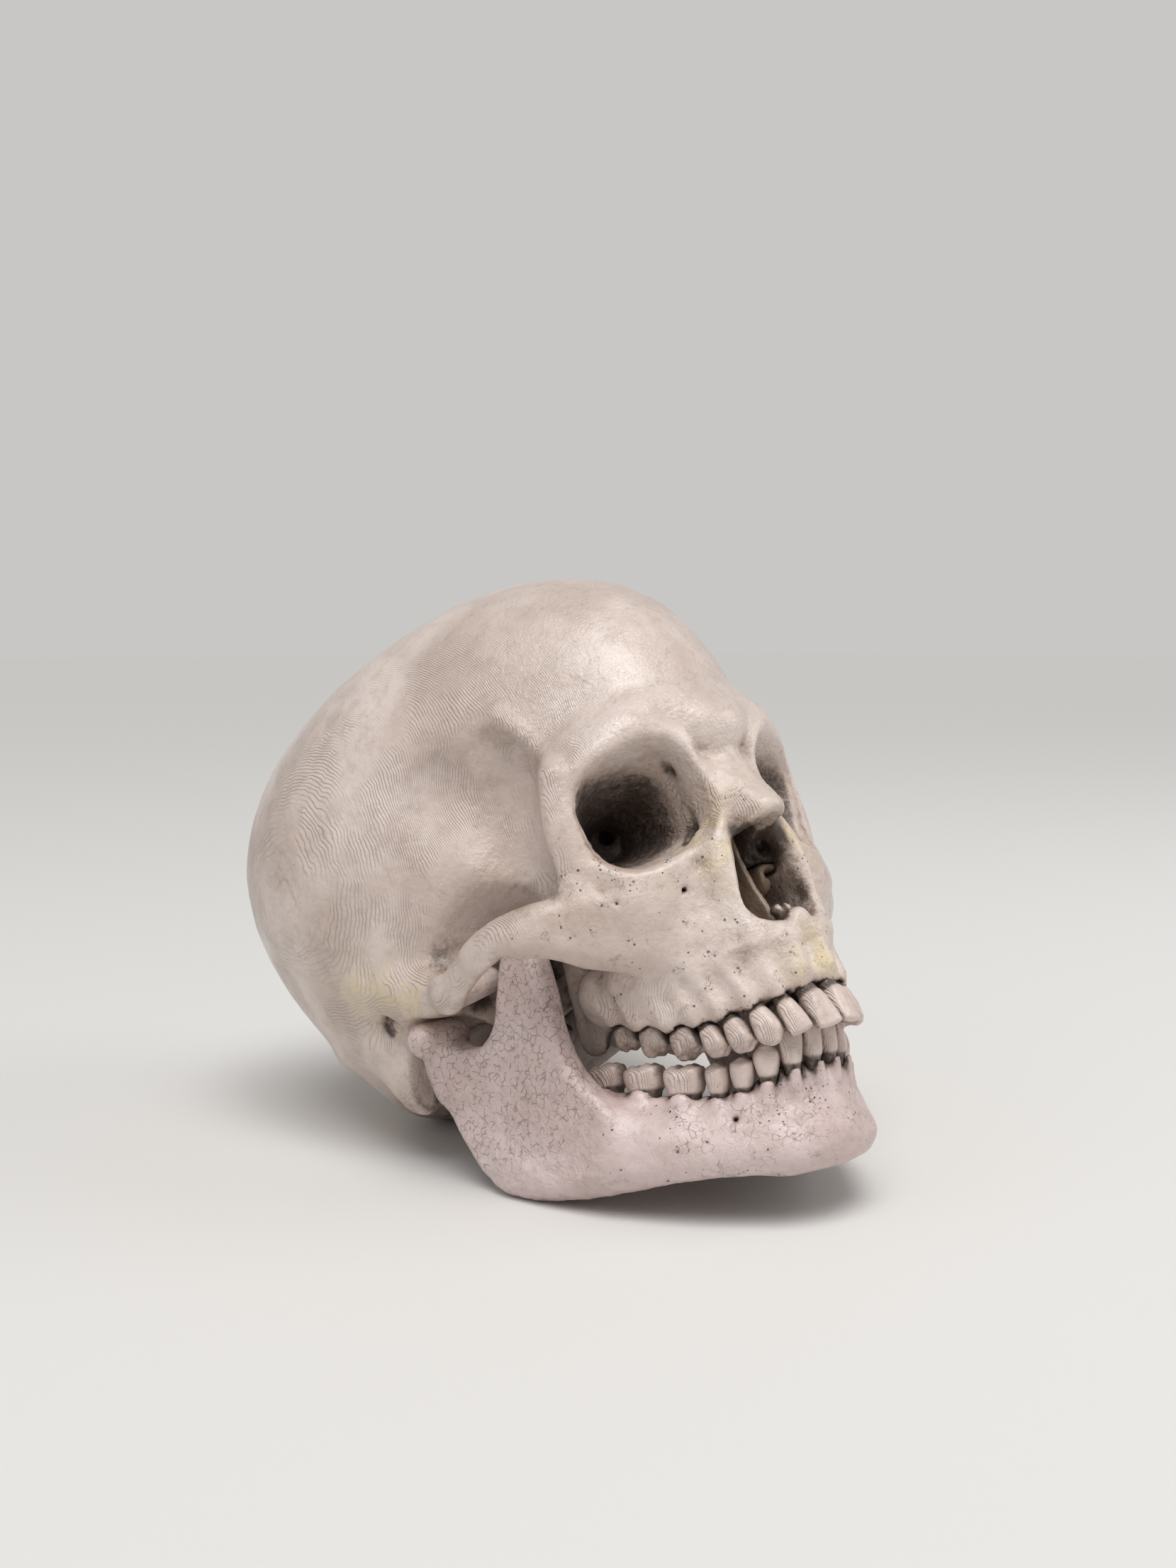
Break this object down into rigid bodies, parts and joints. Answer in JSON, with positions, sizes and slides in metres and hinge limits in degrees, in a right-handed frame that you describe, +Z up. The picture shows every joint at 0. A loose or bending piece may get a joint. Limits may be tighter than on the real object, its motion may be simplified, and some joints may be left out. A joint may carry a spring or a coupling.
{
  "type": "anatomical skull model",
  "caption": "Life-size anatomical skull model with a hollow braincase, a hinged lower jaw and separate teeth set in sockets.",
  "frame": {"origin": "on the table, under the middle of the skull's box", "axes": "+Z up from the table, the face towards -Y and a little up, the skull's own left towards +X"},
  "size_m": [0.1477, 0.2202, 0.1713],
  "materials": {
    "varnished_bone": "off-white bone with a satin varnish and brown wash in the hollows",
    "jaw_bone": "pinkish off-white bone, satin, with a fine crackle",
    "worn_teeth": "worn tan enamel, darker between the teeth",
    "nose_bones": "brown-washed bone"
  },
  "bodies": {
    "cranium": {"cranium": "varnished_bone", "left_nasal_concha": "nose_bones", "nasal_septum": "nose_bones", "right_nasal_concha": "nose_bones", "upper_left_canine": "worn_teeth", "upper_left_central_incisor": "worn_teeth", "upper_left_first_molar": "worn_teeth", "upper_left_first_premolar": "worn_teeth", "upper_left_lateral_incisor": "worn_teeth", "upper_left_second_molar": "worn_teeth", "upper_left_second_premolar": "worn_teeth", "upper_left_third_molar": "worn_teeth", "upper_right_canine": "worn_teeth", "upper_right_central_incisor": "worn_teeth", "upper_right_first_molar": "worn_teeth", "upper_right_first_premolar": "worn_teeth", "upper_right_lateral_incisor": "worn_teeth", "upper_right_second_molar": "worn_teeth", "upper_right_second_premolar": "worn_teeth", "upper_right_third_molar": "worn_teeth"},
    "mandible": {"lower_left_canine": "worn_teeth", "lower_left_central_incisor": "worn_teeth", "lower_left_first_molar": "worn_teeth", "lower_left_first_premolar": "worn_teeth", "lower_left_lateral_incisor": "worn_teeth", "lower_left_second_molar": "worn_teeth", "lower_left_second_premolar": "worn_teeth", "lower_left_third_molar": "worn_teeth", "lower_right_canine": "worn_teeth", "lower_right_central_incisor": "worn_teeth", "lower_right_first_molar": "worn_teeth", "lower_right_first_premolar": "worn_teeth", "lower_right_lateral_incisor": "worn_teeth", "lower_right_second_molar": "worn_teeth", "lower_right_second_premolar": "worn_teeth", "lower_right_third_molar": "worn_teeth", "mandible": "jaw_bone"}
  },
  "joints": [
    {"name": "jaw_hinge", "type": "hinge", "parent": "cranium", "child": "mandible", "pos_m": [0, -0.00351, 0.0396], "axis": [1, 0, 0], "range_deg": [0, 24]}
  ]
}
